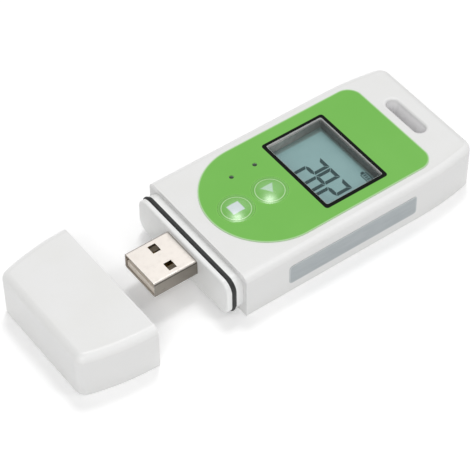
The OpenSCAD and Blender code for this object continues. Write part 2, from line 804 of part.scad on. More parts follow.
module usb_shell() {
    len = plug_out + plug_in;
    ball_r = (dimple_r * dimple_r + dimple_deep * dimple_deep) / (2 * dimple_deep);
    leg_h = plug_h / 2 + board_t + leg_below;
    color("silver") from_seam() difference() {
        union() {
            translate([plug_tip, 0, plug_z]) rotate([90, 0, 90]) linear_extrude(len) shell_section(0);
            for (side = [-1, 1])
                translate([plug_back - leg_x - leg_w / 2, side * (plug_w - shell_t) / 2 - shell_t / 2,
                    plug_z - leg_h]) cube([leg_w, shell_t, leg_h]);
        }
        translate([plug_tip - over, 0, plug_z]) rotate([90, 0, 90])
            linear_extrude(len + 2 * over) shell_section(shell_t);
        for (side = [-1, 1])
            translate([plug_tip + latch_x, side * latch_pitch / 2 - latch_w / 2, plug_z - plug_h / 2 - over])
                cube([latch_len, latch_w, plug_h + 2 * over]);
        for (side = [-1, 1])
            translate([plug_tip + dimple_x, side * (plug_w / 2 + ball_r - dimple_deep), plug_z - dimple_low])
                sphere(ball_r, $fn = $fn / 2);
    }
}

module usb_tongue() {
    w = plug_w - 2 * (shell_t + slip);
    h = plug_h - 2 * (shell_t + fit);
    z0 = plug_z - plug_h / 2 + shell_t + fit;
    block = tongue_block_share * plug_in;
    color("ghostwhite") from_seam() {
        translate([plug_tip + tongue_back, -w / 2, z0])
            cube([plug_out + plug_in - 2 * tongue_back, w, tongue_t]);
        translate([plug_back - tongue_back - block, -w / 2, z0]) cube([block, w, h]);
    }
}

module usb_contacts() {
    z0 = plug_z - plug_h / 2 + shell_t + fit + tongue_t;
    block_x = plug_back - tongue_back - tongue_block_share * plug_in;
    color("gold") from_seam() for (i = [0 : 3]) {
        outer = i == 0 || i == 3;
        len = outer ? contact_long : contact_len;
        x0 = plug_tip + tongue_back + contact_step + contact_long - len;
        translate([x0, contact_pitch * contact_places_share[i] - contact_w / 2, z0 + fit])
            cube([block_x - x0 - fit, contact_w, contact_t]);
    }
}

// Clear dome over a key: the printed film's own bubble, cut free so that it can travel
module dome(x) {
    ball_r = (dome_r * dome_r + dome_h * dome_h) / (2 * dome_h);
    translate([x, button_y, 0]) intersection() {
        translate([0, 0, film_top + dome_h - ball_r]) sphere(ball_r, $fn = 2 * $fn);
        translate([0, 0, body_h + fit]) cylinder(r = dome_r, h = film_t + dome_h);
    }
}

module start_button() {
    color([0.62, 0.85, 0.55]) from_seam() dome(start_x);
}

module stop_button() {
    color([0.62, 0.85, 0.55]) from_seam() dome(stop_x);
}

// Key under a dome: a flat head in the case's pocket and a stem down to the switch
module key(x) {
    stem_foot = board_top + switch_h + plunger_up + 2 * fit;
    translate([x, button_y, body_h - key_head_t]) cylinder(r = key_head_r, h = key_head_t);
    translate([x, button_y, stem_foot]) cylinder(r = key_stem_r, h = body_h - key_head_t - stem_foot);
}

module start_key() {
    color("white") from_seam() key(start_x);
}

module stop_key() {
    color("white") from_seam() key(stop_x);
}

module switch_body(x) {
    well = plunger_in + press + slip;
    translate([x, button_y, board_top + fit]) difference() {
        translate([-switch_w / 2, -switch_w / 2, 0]) cube([switch_w, switch_w, switch_h]);
        translate([0, 0, switch_h - well]) cylinder(r = plunger_r + slip, h = well + over);
    }
}

module start_switch() {
    color("dimgray") from_seam() switch_body(start_x);
}

module stop_switch() {
    color("dimgray") from_seam() switch_body(stop_x);
}

module plunger(x) {
    translate([x, button_y, board_top + fit + switch_h - plunger_in])
        cylinder(r = plunger_r, h = plunger_in + plunger_up);
}

module start_plunger() {
    color("black") from_seam() plunger(start_x);
}

module stop_plunger() {
    color("black") from_seam() plunger(stop_x);
}

// Clear rod that carries an LED's light up to the film, held by a flange under the case's top
module light_pipe(x) {
    foot = board_top + led_h + 3 * slip;
    translate([x, light_y, foot]) cylinder(r = pipe_r, h = film_top - pipe_sunk - foot);
    translate([x, light_y, cavity_top - fit - pipe_flange_t]) cylinder(r = pipe_flange_r, h = pipe_flange_t);
}

module ok_light_pipe() {
    color([0.1, 0.12, 0.1]) from_seam() light_pipe(ok_x);
}

module alarm_light_pipe() {
    color([0.1, 0.12, 0.1]) from_seam() light_pipe(alarm_x);
}

// Box on the board by its middle, as a chip is drawn
module chip(x, y, len, w, h) {
    translate([x - len / 2, y - w / 2, board_top + fit]) cube([len, w, h]);
}

module ok_led() {
    color("palegreen") from_seam() chip(ok_x, light_y, led_len, led_w, led_h);
}

module alarm_led() {
    color("salmon") from_seam() chip(alarm_x, light_y, led_len, led_w, led_h);
}

// Chip with a row of legs on each long side
module legged_chip(x, y, size, legs) {
    leg = size[0] / (2 * legs + 1);
    chip(x, y, size[0], size[1], size[2]);
    for (i = [0 : legs - 1])
        chip(x - size[0] / 2 + leg * (2 * i + 1.5), y, leg, leg_span_share * size[1], size[2] / 8);
}

module processor() {
    color([0.15, 0.15, 0.16]) from_seam()
        legged_chip(processor_x, -processor_y, processor_size, processor_legs);
}

module memory_chip() {
    color([0.15, 0.15, 0.16]) from_seam() legged_chip(memory_x, -memory_y, memory_size, memory_legs);
}

module crystal() {
    color("silver") from_seam() translate([crystal_x, crystal_y, board_top + fit + crystal_r])
        rotate([0, 90, 0]) cylinder(r = crystal_r, h = crystal_len);
}

module temperature_sensor() {
    color([0.15, 0.15, 0.16]) from_seam() legged_chip(sensor_x, memory_y, sensor_size, sensor_legs);
}

module side_label() {
    color([0.66, 0.68, 0.7]) from_seam() translate([label_x + label_len / 2, -half_w, label_z + label_h / 2])
        rotate([90, 0, 0]) linear_extrude(label_t) round_rect([label_len, label_h], label_r);
}

front_case();
rear_cover();
cover_gasket();
slot_gasket();
cover_screws();
usb_collar();
collar_seal();
cap();
overlay();
display_window();
display_bezel();
display_panel();
contact_strips();
circuit_board();
battery();
positive_contact();
negative_contact();
battery_door();
door_seal();
usb_shell();
usb_tongue();
usb_contacts();
start_button();
stop_button();
start_key();
stop_key();
start_switch();
stop_switch();
start_plunger();
stop_plunger();
ok_light_pipe();
alarm_light_pipe();
ok_led();
alarm_led();
processor();
memory_chip();
crystal();
temperature_sensor();
side_label();
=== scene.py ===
"""Looks of the temperature logger: finishes, printed film, display figures and studio."""
import math

import bmesh
import bpy
from mathutils import Matrix, Vector


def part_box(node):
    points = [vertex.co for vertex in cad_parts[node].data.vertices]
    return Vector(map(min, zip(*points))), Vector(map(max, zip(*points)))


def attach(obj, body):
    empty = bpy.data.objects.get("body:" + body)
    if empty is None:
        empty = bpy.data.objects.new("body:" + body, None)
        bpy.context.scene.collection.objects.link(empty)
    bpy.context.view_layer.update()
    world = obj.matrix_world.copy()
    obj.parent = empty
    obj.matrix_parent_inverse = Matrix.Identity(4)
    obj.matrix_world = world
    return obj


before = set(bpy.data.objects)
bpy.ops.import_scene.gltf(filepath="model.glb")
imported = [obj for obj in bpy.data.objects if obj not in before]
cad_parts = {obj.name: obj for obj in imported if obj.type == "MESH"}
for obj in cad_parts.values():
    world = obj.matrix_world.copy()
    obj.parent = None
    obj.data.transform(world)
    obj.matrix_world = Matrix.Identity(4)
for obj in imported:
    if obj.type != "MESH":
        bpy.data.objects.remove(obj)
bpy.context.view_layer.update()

# lengths and places are in millimetres, and x starts at the case's open end and runs towards its slot
MM = 0.001
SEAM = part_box("front_case")[0][0] / MM


def corners(name):
    """Low and high corner of a piece's box."""
    return [(x / MM - SEAM, y / MM, z / MM) for x, y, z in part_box(name)]


def middle(name):
    """Centre of a piece's box."""
    return [(low + high) / 2 for low, high in zip(*corners(name))]


# places that the frame gives
CASE_SIDE, CASE_TOP = corners("front_case")[1][1:]
PLUG_SIDE, PLUG_TOP = corners("usb_shell")[1][1:]
TONGUE_TIP = corners("usb_tongue")[0][0]
FILM_START = corners("overlay")[0][0]
FILM_END, FILM_SIDE, _ = corners("overlay")[1]
BEZEL_FOOT, BEZEL_NEAR_SIDE, _ = corners("display_bezel")[0]
BEZEL_SLOT_END, BEZEL_FAR_SIDE, _ = corners("display_bezel")[1]
GLASS_TOP = corners("display_panel")[1][2]
WINDOW_X, WINDOW_Y, _ = middle("display_window")
START_X, BUTTONS_Y, _ = middle("start_button")
STOP_X = middle("stop_button")[0]
SEAL_X = middle("collar_seal")[0]
SLOT_X, SLOT_Y, _ = middle("slot_gasket")

# camera, as fitted to the photograph: angles in degrees, and the picture's own sizes in pixels
CAMERA_TURN, CAMERA_TILT, CAMERA_ROLL = -36.473, 47.797, -0.211
CAMERA_DISTANCE = 503.583
CAMERA_LOOKS_AT = 15
PICTURE_WIDTH = 470
FOCAL_LENGTH = 2131.984
SHIFT_RIGHT, SHIFT_UP = -14.62, 2.721
SENSOR_WIDTH = 36
CLIP_START = 10


def place_camera():
    """Camera where the photograph was taken from."""
    turn, tilt, roll = (math.radians(v) for v in (CAMERA_TURN, CAMERA_TILT, CAMERA_ROLL))
    back = Vector((math.sin(turn) * math.cos(tilt), -math.cos(turn) * math.cos(tilt), math.sin(tilt)))
    right = Vector((math.cos(turn), math.sin(turn), 0))
    up = back.cross(right)
    side = math.cos(roll) * right + math.sin(roll) * up
    top = math.cos(roll) * up - math.sin(roll) * right
    data = bpy.data.cameras.new("camera")
    data.sensor_width = SENSOR_WIDTH
    data.lens = SENSOR_WIDTH * FOCAL_LENGTH / PICTURE_WIDTH
    data.shift_x = SHIFT_RIGHT / PICTURE_WIDTH
    data.shift_y = SHIFT_UP / PICTURE_WIDTH
    data.clip_start = CLIP_START * MM
    camera = bpy.data.objects.new("camera", data)
    look = Vector(((SEAM + CAMERA_LOOKS_AT) * MM, 0, 0))
    turned = Matrix((side, top, back)).transposed().to_4x4()
    camera.matrix_world = Matrix.Translation(look + back * (CAMERA_DISTANCE * MM)) @ turned
    bpy.context.scene.collection.objects.link(camera)
    bpy.context.scene.camera = camera


place_camera()


# shader maths

# places of the sockets on a mix node that mixes colours
MIX_AMOUNT, MIX_LOW, MIX_HIGH, MIX_RESULT = 0, 6, 7, 2


class Value:
    """A socket that Python's operators and a few named functions work on."""

    def __init__(self, finish, socket):
        self.finish = finish
        self.socket = socket

    def math(self, kind, *others, clamp=False):
        node = self.finish.node("ShaderNodeMath", {"operation": kind, "use_clamp": clamp}, self, *others)
        return Value(self.finish, node.outputs[0])

    def __add__(self, other):
        return self.math("ADD", other)

    def __sub__(self, other):
        return self.math("SUBTRACT", other)

    def __rsub__(self, other):
        return (self * -1).math("ADD", other)

    def __mul__(self, other):
        return self.math("MULTIPLY", other)

    def __truediv__(self, other):
        return self.math("DIVIDE", other)

    def __abs__(self):
        return self.math("ABSOLUTE")

    def low(self, other):
        return self.math("MINIMUM", other)

    def high(self, other):
        return self.math("MAXIMUM", other)

    def root(self):
        return self.math("SQRT")

    def inside(self, soft):
        """1 where a distance is below zero, 0 above it, over a soft step."""
        return (self * -1.0 / soft).math("ADD", 0.5, clamp=True)

    def smooth(self, low, high, to_low=0.0, to_high=1.0):
        """A soft rise from to_low at low to to_high at high."""
        node = self.finish.node("ShaderNodeMapRange", {"interpolation_type": "SMOOTHSTEP"},
                                self, low, high, to_low, to_high)
        return Value(self.finish, node.outputs[0])


class Finish:
    """A material and the nodes that make it."""

    def __init__(self, name):
        self.material = bpy.data.materials.new(name)
        self.material.use_nodes = True
        self.tree = self.material.node_tree
        self.tree.nodes.clear()
        out = self.tree.nodes.new("ShaderNodeOutputMaterial")
        self.shader = self.tree.nodes.new("ShaderNodeBsdfPrincipled")
        self.tree.links.new(self.shader.outputs[0], out.inputs[0])
        self.where = self.node("ShaderNodeTexCoord", {}).outputs["Object"]

    def node(self, kind, settings, *values, **named):
        """A node with its settings, and values or links for its sockets in their order or by name."""
        node = self.tree.nodes.new(kind)
        for key, value in settings.items():
            setattr(node, key, value)
        for key, value in list(enumerate(values)) + list(named.items()):
            self.feed(node.inputs[key.replace("_", " ") if isinstance(key, str) else key], value)
        return node

    def feed(self, socket, value):
        if isinstance(value, Value):
            value = value.socket
        if isinstance(value, bpy.types.NodeSocket):
            self.tree.links.new(value, socket)
        else:
            if socket.type == "RGBA" and len(value) == 3:
                value = (*value, 1)
            socket.default_value = value

    def set(self, **values):
        for key, value in values.items():
            self.feed(self.shader.inputs[key.replace("_", " ")], value)
        return self

    def axes(self):
        """Object coordinates in millimetres, with x from the case's open end."""
        parts = self.node("ShaderNodeSeparateXYZ", {}, self.where).outputs
        x, y, z = (Value(self, part) * (1 / MM) for part in parts)
        return x - SEAM, y, z

    def noise(self, per_mm, detail=3.0, rough=0.5, stretch=None):
        """Cloudy pattern, with so many clouds to a millimetre."""
        where = self.where
        if stretch:
            where = self.node("ShaderNodeMapping", {}, where, Scale=stretch).outputs[0]
        node = self.node("ShaderNodeTexNoise", {}, Vector=where, Scale=per_mm / MM, Detail=detail,
                         Roughness=rough)
        return Value(self, node.outputs[0])

    def grain(self, per_mm):
        """Round dimples, as spark erosion leaves in a mould."""
        node = self.node("ShaderNodeTexVoronoi", {"feature": "SMOOTH_F1"}, Vector=self.where,
                         Scale=per_mm / MM)
        return Value(self, node.outputs[0])

    def mix(self, amount, low, high):
        """The colour low where amount is 0, changing into the colour high where it is 1."""
        node = self.node("ShaderNodeMix", {"data_type": "RGBA"})
        for place, value in ((MIX_AMOUNT, amount), (MIX_LOW, low), (MIX_HIGH, high)):
            self.feed(node.inputs[place], value)
        return node.outputs[MIX_RESULT]

    def bump(self, height, depth):
        """Roughened surface: height is a pattern, and depth is in millimetres."""
        node = self.node("ShaderNodeBump", {}, Strength=1.0, Distance=depth * MM, Height=height)
        return self.set(Normal=node.outputs[0])


def slab_distance(x, y, centre, half, corner):
    """Signed distance in the plane to a rectangle with round corners."""
    dx = abs(x - centre[0]) - (half[0] - corner)
    dy = abs(y - centre[1]) - (half[1] - corner)
    outside = (dx.high(0.0) * dx.high(0.0) + dy.high(0.0) * dy.high(0.0)).root()
    return outside + dx.high(dy).low(0.0) - corner


def disc_distance(x, y, cx, cy):
    """Distance in the plane to a point."""
    dx, dy = x - cx, y - cy
    return (dx * dx + dy * dy).root()


def scaled(colour, by, plus=0.0):
    """A lighter or darker colour, kept within 1."""
    return tuple(min(1.0, c * by + plus) for c in colour)


# finishes of the shells

# bands are pairs of places, between which a look changes into another
# these bands carry the painted shade on the sides and the painted light on the long round edges
SIDE_END = (CASE_TOP - 2.1, CASE_TOP - 1.2)
SIDE_FOOT = (0.0, CASE_TOP - 2.5)
EDGE_START = (CASE_TOP - 1.9, CASE_TOP - 0.45)
EDGE_END = (CASE_TOP - 0.09, CASE_TOP - 0.005)
LONG_EDGES = (CASE_SIDE - 5.1, CASE_SIDE - 3.1)
# places of the painted light on the slot's wall
SLOT_HALF = (2.2, 7.4)
SLOT_RIM = (CASE_TOP - 1.6, CASE_TOP - 0.1)
SLOT_FAR_END = (SLOT_Y + 1.0, SLOT_Y + 7.0)
SLOT_PAINTED_LIGHT = (0.95, 0.945, 0.95)
# place and colour of the painted shade in the sealing ring's groove
GROOVE_X, GROOVE_HALF = SEAL_X + 0.13, 0.59
GROOVE_PAINTED_SHADE = (0.02, 0.022, 0.022)


def moulded_plastic(name, colour, rough=0.3, grain_depth=0.006, grains_per_mm=7.0,
                    edges=False, slot=False, groove=False):
    """White moulded plastic: fine spark grain, faint flow mottling and slight dirt, with painted shade and
    painted light where asked.
    """
    f = Finish(name)
    flow = f.noise(0.09, detail=4.0).smooth(0.3, 0.7)
    dust = f.noise(0.9, detail=6.0, rough=0.7).smooth(0.45, 0.8)
    darker = tuple(c * k for c, k in zip(colour, (0.98, 0.978, 0.968)))
    base = f.mix(flow, colour, darker)
    base = f.mix(dust * 0.25, base, scaled(darker, 0.97))
    if edges:
        # painted shade and painted light: sides a little darker, and the long round edges a little paler
        _, y, z = f.axes()
        side = (1.0 - z.smooth(*SIDE_END)) * z.smooth(*SIDE_FOOT, 0.4, 1.0)
        edge = z.smooth(*EDGE_START) * (1.0 - z.smooth(*EDGE_END)) * abs(y).smooth(*LONG_EDGES)
        base = f.mix(side, base, scaled(colour, 0.925))
        base = f.mix(edge, base, scaled(colour, 1.1))
    if slot:
        # painted light on the slot's wall, which fades out over the rim, but less so at the far end
        x, y, z = f.axes()
        wall = slab_distance(x, y, (SLOT_X, SLOT_Y), SLOT_HALF, SLOT_HALF[0]).inside(0.5)
        wall = wall * (1.0 - z.smooth(*SLOT_RIM) * (1.0 - y.smooth(*SLOT_FAR_END) * 0.3))
        base = f.mix(wall, base, SLOT_PAINTED_LIGHT)
    if groove:
        # painted shade in the sealing ring's groove, dark between its walls
        x, _, _ = f.axes()
        base = f.mix((abs(x - GROOVE_X) - GROOVE_HALF).inside(0.06), base, GROOVE_PAINTED_SHADE)
    f.set(Base_Color=base, Roughness=flow * 0.05 + dust * 0.06 + rough, IOR=1.5)
    return f.bump(f.grain(grains_per_mm) + f.noise(grains_per_mm * 0.6, detail=2.0) * 0.5, grain_depth)


def dull_rubber(name, colour):
    """Matt rubber with a faint greyish bloom."""
    f = Finish(name)
    bloom = f.noise(1.2, detail=5.0, rough=0.65).smooth(0.4, 0.75)
    f.set(Base_Color=f.mix(bloom, colour, scaled(colour, 1.5, 0.01)), Roughness=bloom * 0.15 + 0.55, IOR=1.5)
    return f.bump(f.noise(6.0), 0.01)


# bands of the painted shade on the plug's sides and along its fold
PLUG_SIDES = (PLUG_SIDE - 0.25, PLUG_SIDE - 0.05)
FOLD_Z, FOLD_HALF = PLUG_TOP - 0.4, 0.1
FOLD_PAINTED_SHADE = (0.05, 0.045, 0.035)


def sheet_metal(name, colour, rough, drawn=False):
    """Plated sheet with rolling lines, stains and pits. A drawn shell gets painted shade: darker sides, and a
    dark line along the fold.
    """
    f = Finish(name)
    lines = f.noise(0.25, detail=4.0, rough=0.7, stretch=(4.0, 60.0, 60.0))
    stains = f.noise(0.7, detail=5.0, rough=0.6).smooth(0.45, 0.75)
    pits = f.noise(7.0, detail=2.0).smooth(0.62, 0.75)
    base = f.mix((stains + pits * 0.8) * 0.25, colour, scaled(colour, 0.8))
    if drawn:
        # painted shade: the sides darker, and darker still along the fold
        _, y, z = f.axes()
        side = abs(y).smooth(*PLUG_SIDES)
        fold = (abs(z - FOLD_Z) - FOLD_HALF).inside(0.1)
        base = f.mix(side, base, tuple(c * k for c, k in zip(colour, (0.52, 0.51, 0.48))))
        base = f.mix(fold * side * 0.8, base, FOLD_PAINTED_SHADE)
    f.set(Base_Color=base, Metallic=1.0, Roughness=lines * 0.1 + stains * 0.08 + pits * 0.12 + rough)
    return f.bump(lines + pits * 0.5, 0.003)


def resin(name, colour, rough=0.45):
    """Slightly cloudy resin of the chips, the switches and the LEDs."""
    f = Finish(name)
    cloud = f.noise(1.5, detail=4.0).smooth(0.35, 0.7)
    f.set(Base_Color=f.mix(cloud, colour, scaled(colour, 1.25, 0.01)), Roughness=cloud * 0.1 + rough)
    return f.bump(f.noise(8.0, detail=2.0), 0.004)


def ink(name, colour):
    """Dark, hardly glossy stuff of the light pipes and the display's figures."""
    f = Finish(name)
    patch = f.noise(4.0)
    return f.set(Base_Color=f.mix(patch, colour, scaled(colour, 1.3)), Roughness=patch * 0.1 + 0.5,
                 Specular_IOR_Level=0.1)


def clear_film(name):
    """Nearly invisible film with a soft gloss and a faint haze."""
    f = Finish(name)
    haze = f.noise(0.4).smooth(0.4, 0.8)
    f.set(Base_Color=(0.06, 0.07, 0.07), Roughness=haze * 0.05 + 0.15, Alpha=haze * 0.01 + 0.03,
          Specular_IOR_Level=0.35)
    return f.bump(f.noise(0.5, detail=2.0), 0.004)


def solder_resist():
    """Green board with tracks under the resist and bare pads."""
    f = Finish("solder_resist")
    cells = f.node("ShaderNodeTexVoronoi", {"distance": "MANHATTAN", "feature": "DISTANCE_TO_EDGE"},
                   Vector=f.where, Scale=0.45 / MM)
    track = Value(f, cells.outputs[0]).smooth(0.03, 0.06)
    pads = f.grain(0.7).smooth(0.10, 0.14)
    green = f.mix(track, (0.05, 0.32, 0.11), (0.02, 0.17, 0.05))
    colour = f.mix(1.0 - pads, green, (0.8, 0.62, 0.3))
    f.set(Base_Color=colour, Metallic=1.0 - pads, Roughness=pads * 0.1 + 0.25)
    return f.bump(track + pads, 0.02)


# finishes of the film and the buttons

# the print ends a hair inside the film's edge; it is round at one end and has round corners at the other
PRINT_MARGIN, PRINT_CORNER = 0.25, 3.8
PRINT_END, PRINT_SIDE = FILM_END - PRINT_MARGIN, FILM_SIDE - PRINT_MARGIN
ROUND_X = FILM_START + FILM_SIDE
CUT_CENTRE, CUT_HALF, CUT_CORNER = (WINDOW_X - 0.1, WINDOW_Y - 0.1), (8.175, 11.75), 0.5
FRAME_BORDER = 1.0
FRAME_CENTRE, FRAME_CORNER = (WINDOW_X - 0.14, WINDOW_Y - 0.22), 0.85
FRAME_HALF = (CUT_HALF[0] + FRAME_BORDER, CUT_HALF[1] + FRAME_BORDER)
HALO_RADIUS = 4.7
PAINTED_LIGHT_GREEN, RIM_GREEN = (0.235, 0.59, 0.12), (0.46, 0.68, 0.38)
FRAME_BLACK, CUT_GREY = (0.002, 0.004, 0.002), (0.55, 0.6, 0.58)


def printed_film():
    """Green print under a satin film, with a black frame round the window, a paler rim, and painted light in
    halos round the buttons.
    """
    f = Finish("printed_film")
    x, y, _ = f.axes()
    cloud = f.noise(0.06).smooth(0.3, 0.7)
    speck = f.noise(3.0)
    green = f.mix(cloud, (0.183, 0.492, 0.095), (0.194, 0.507, 0.103))
    round_end = (ROUND_X - x).math("GREATER_THAN", 0.0)
    straight = slab_distance(x, y, ((PRINT_END - ROUND_X) / 2, 0.0), ((PRINT_END + ROUND_X) / 2, PRINT_SIDE),
                             PRINT_CORNER)
    ground = (disc_distance(x, y, ROUND_X, 0.0) - PRINT_SIDE) * round_end + straight * (1.0 - round_end)
    colour = f.mix(ground.inside(0.3), RIM_GREEN, green)
    frame_line = slab_distance(x, y, FRAME_CENTRE, FRAME_HALF, FRAME_CORNER)
    colour = f.mix(frame_line.inside(0.1), colour, FRAME_BLACK)
    # the frame's print ends short of the window's cut edge, which shows on the near side and at the foot
    cut = slab_distance(x, y, CUT_CENTRE, CUT_HALF, CUT_CORNER)
    colour = f.mix((cut - 0.05).inside(0.05), colour, CUT_GREY)
    # painted light: a paler halo round each button
    for button_x in (START_X, STOP_X):
        halo_painted_light = (disc_distance(x, y, button_x, BUTTONS_Y) - HALO_RADIUS).inside(0.3)
        colour = f.mix(halo_painted_light * 0.5, colour, PAINTED_LIGHT_GREEN)
    f.set(Base_Color=colour, Roughness=speck * 0.06 + cloud * 0.03 + 0.4, Specular_IOR_Level=0.06)
    return f.bump(f.noise(5.0), 0.004)


# rings and signs, with places from the button's centre
DOME_FOOT = (3.95, 4.3)
RING_CENTRE, RING_RADIUS, RING_HALF = (-0.15, -0.2), 3.55, 0.09
RING_GREEN = (0.66, 0.86, 0.55)
TRIANGLE_X, TRIANGLE_HALF, TRIANGLE_FAR, TRIANGLE_TIP = -0.1, 1.7, 1.3, -1.32
SQUARE_CENTRE, SQUARE_HALF, SQUARE_CORNER = (-0.3, -0.15), (1.6, 1.47), 0.1


def triangle_edge(x, y):
    """Signed distance to a triangle that points to the near side."""
    height = TRIANGLE_FAR - TRIANGLE_TIP
    flank = math.hypot(height, TRIANGLE_HALF)
    past_flank = abs(x - TRIANGLE_X) * (height / flank) - (y - TRIANGLE_TIP) * (TRIANGLE_HALF / flank)
    return (y - TRIANGLE_FAR).high(past_flank)


def square_edge(x, y):
    """Signed distance to a square with barely rounded corners."""
    return slab_distance(x, y, SQUARE_CENTRE, SQUARE_HALF, SQUARE_CORNER)


def domed_button(name, button_x, sign_edge, sign_colour):
    """Clear dome over the green print with its pale sign and ring."""
    f = Finish(name)
    x, y, _ = f.axes()
    x, y = x - button_x, y - BUTTONS_Y
    cloud = f.noise(0.3).smooth(0.3, 0.7)
    sign = sign_edge(x, y).inside(0.3)
    foot = disc_distance(x, y, 0.0, 0.0).smooth(*DOME_FOOT)
    ring = (abs(disc_distance(x, y, *RING_CENTRE) - RING_RADIUS) - RING_HALF).inside(0.12)
    colour = f.mix(cloud, (0.135, 0.435, 0.055), (0.15, 0.455, 0.065))
    # painted light, paler over the dome's foot
    colour = f.mix(foot * 0.6, colour, PAINTED_LIGHT_GREEN)
    colour = f.mix(sign * 0.92, colour, sign_colour)
    colour = f.mix(ring * 0.65, colour, RING_GREEN)
    f.set(Base_Color=colour, Roughness=cloud * 0.04 + 0.24, Specular_IOR_Level=0.85)
    return f.bump(ring * 0.25 - sign * 0.1 + f.noise(0.5, detail=2.0) * 0.3, 0.03)


# finishes of the display, the label and the plug's tongue

# bands of the painted light and the painted shadow on the glass
GLASS_FOOT = (BEZEL_FOOT + 2.8, BEZEL_FOOT + 6.0)
GLASS_SLOT_END = (BEZEL_SLOT_END - 3.85, BEZEL_SLOT_END - 3.25)
GLASS_NEAR_SIDE = (BEZEL_NEAR_SIDE + 2.65, BEZEL_NEAR_SIDE + 4.45)
GLASS_FAR_SIDE = (BEZEL_FAR_SIDE - 4.5, BEZEL_FAR_SIDE - 3.95)


def display_glass():
    """Reflective liquid crystal: grey-green with a faint pixel haze, painted light along its foot and near
    side, and painted shadow along its far side and slot end.
    """
    f = Finish("display_glass")
    x, y, _ = f.axes()
    haze = f.noise(0.12, detail=4.0).smooth(0.3, 0.7)
    sparkle = f.noise(9.0, detail=2.0)
    base = f.mix(haze, (0.25, 0.412, 0.415), (0.265, 0.432, 0.432))
    base = f.mix(sparkle * 0.3, base, (0.31, 0.485, 0.48))
    # painted light, a little paler along the foot and the near side
    glass_painted_light = (1.0 - x.smooth(*GLASS_FOOT)).high(1.0 - y.smooth(*GLASS_NEAR_SIDE))
    base = f.mix(glass_painted_light * 0.9, base, (0.335, 0.53, 0.54))
    # painted shadow along the far side and the slot end, where the recess walls shade the glass
    edge = y.smooth(*GLASS_FAR_SIDE).high(x.smooth(*GLASS_SLOT_END))
    base = f.mix(edge * 0.75, base, (0.17, 0.215, 0.2))
    f.set(Base_Color=base, Roughness=haze * 0.05 + 0.3, Specular_IOR_Level=0.2)
    return f.bump(f.noise(4.0, detail=2.0), 0.002)


BEZEL_FAR_WALL = (BEZEL_FAR_SIDE - 3.55, BEZEL_FAR_SIDE - 3.15)
BEZEL_WALL_FADE = (BEZEL_FOOT + 4.0, BEZEL_SLOT_END - 3.75)


def bezel_plastic():
    """Dark moulded frame, paler on its far long wall by painted light, as the photograph shows it."""
    f = Finish("bezel_plastic")
    x, y, _ = f.axes()
    mottle = f.noise(0.8, detail=4.0).smooth(0.3, 0.7)
    # painted light on the far long wall, paler towards the foot than at the slot end
    far_wall_painted_light = f.mix(x.smooth(*BEZEL_WALL_FADE), (0.42, 0.43, 0.41), (0.2, 0.21, 0.2))
    base = f.mix(y.smooth(*BEZEL_FAR_WALL), (0.13, 0.135, 0.13), far_wall_painted_light)
    f.set(Base_Color=f.mix(mottle * 0.3, base, (0.12, 0.12, 0.115)), Roughness=mottle * 0.1 + 0.5)
    return f.bump(f.grain(7.0), 0.01)


LABEL_RIM, LABEL_CORNER = 0.25, 0.7
RIM_GREY = (0.5, 0.53, 0.54)


def foil_label():
    """Silver-grey foil with a drawn sheen and a paler cut rim."""
    f = Finish("foil_label")
    x, _, z = f.axes()
    sheen = f.noise(0.15, detail=4.0, rough=0.6, stretch=(1.0, 1.0, 5.0)).smooth(0.3, 0.7)
    scuff = f.noise(1.6, detail=6.0, rough=0.7).smooth(0.55, 0.8)
    (start, _, foot), (end, _, top) = corners("side_label")
    centre = ((start + end) / 2, (foot + top) / 2)
    half = ((end - start) / 2 - LABEL_RIM, (top - foot) / 2 - LABEL_RIM)
    face = slab_distance(x, z, centre, half, LABEL_CORNER).inside(0.12)
    colour = f.mix(sheen, (0.353, 0.386, 0.403), (0.39, 0.423, 0.436))
    colour = f.mix(scuff * 0.3, colour, RIM_GREY)
    f.set(Base_Color=f.mix(face, RIM_GREY, colour), Metallic=0.15, Roughness=scuff * 0.1 + 0.4)
    return f.bump(f.noise(3.0) + scuff, 0.006)


TONGUE_FRONT = (TONGUE_TIP + 0.3, TONGUE_TIP + 2.2)


def tongue_plastic():
    """Cream at its front end, and brownish inside the shell, where little light reaches it."""
    f = Finish("tongue_plastic")
    x, _, _ = f.axes()
    mottle = f.noise(0.8, detail=4.0).smooth(0.3, 0.7)
    base = f.mix(x.smooth(*TONGUE_FRONT), (0.97, 0.87, 0.75), (0.62, 0.53, 0.41))
    f.set(Base_Color=f.mix(mottle * 0.2, base, (0.5, 0.46, 0.4)), Roughness=mottle * 0.1 + 0.4)
    return f.bump(f.grain(7.0), 0.004)


# the finish that each node wears

white_case = moulded_plastic("white_case", (0.765, 0.765, 0.76), edges=True, slot=True)
white_cap = moulded_plastic("white_cap", (0.775, 0.775, 0.77), grains_per_mm=6.5, edges=True)
white_back = moulded_plastic("white_back", (0.78, 0.78, 0.77), rough=0.5, grain_depth=0.012,
                             grains_per_mm=4.0)
cool_white = moulded_plastic("cool_white", (0.83, 0.835, 0.83), grain_depth=0.003, groove=True)
key_white = moulded_plastic("key_white", (0.75, 0.75, 0.73), rough=0.35, grain_depth=0.003)
seal_rubber = dull_rubber("seal_rubber", (0.014, 0.015, 0.015))
zebra_rubber = dull_rubber("zebra_rubber", (0.42, 0.24, 0.24))
plug_metal = sheet_metal("plug_metal", (0.525, 0.492, 0.458), 0.3, drawn=True)
screw_metal = sheet_metal("screw_metal", (0.55, 0.55, 0.54), 0.35)
cell_metal = sheet_metal("cell_metal", (0.72, 0.72, 0.71), 0.25)
spring_bronze = sheet_metal("spring_bronze", (0.78, 0.6, 0.34), 0.3)
gold = sheet_metal("gold", (0.88, 0.67, 0.28), 0.2)
black_resin = resin("black_resin", (0.02, 0.02, 0.022))
switch_black = resin("switch_black", (0.03, 0.03, 0.03), 0.5)
